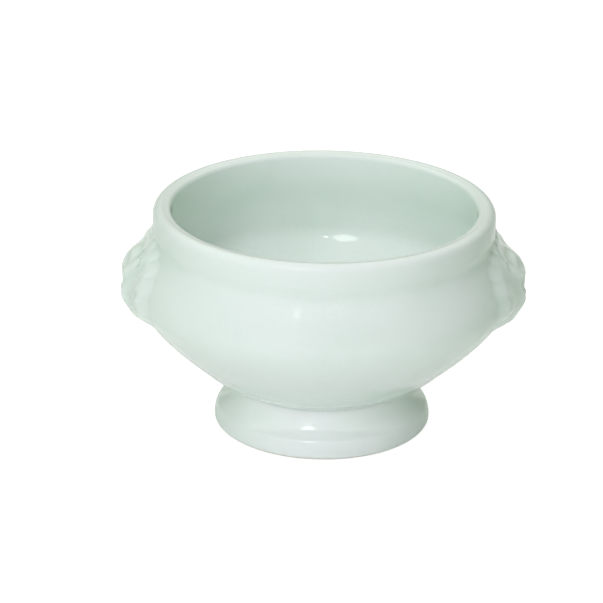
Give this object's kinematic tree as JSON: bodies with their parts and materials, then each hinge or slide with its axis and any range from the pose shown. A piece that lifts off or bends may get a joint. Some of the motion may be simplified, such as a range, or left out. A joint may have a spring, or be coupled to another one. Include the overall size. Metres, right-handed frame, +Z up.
{
  "type": "french onion soup crock",
  "caption": "Footed stoneware soup bowl with a rolled rim, a round belly and a lion head handle on each side, glazed pale grey green.",
  "frame": {"origin": "centre of the foot on the surface that the crock stands on", "axes": "+Z up through the mouth, +X through the middle of one lion head, the other head at -X"},
  "size_m": [0.1434, 0.1336, 0.081],
  "materials": {
    "bowl_glaze": "glossy, even, pale grey green glaze on white stoneware",
    "foot_glaze": "the same glaze, wiped off the flat ring that stands on the table",
    "lion_head_glaze": "the same glaze, pooled deeper in the grooves of the relief"
  },
  "bodies": {
    "root": {"bowl": "bowl_glaze", "pedestal_foot": "foot_glaze", "lion_head_right": "lion_head_glaze", "lion_head_left": "lion_head_glaze"}
  },
  "joints": []
}
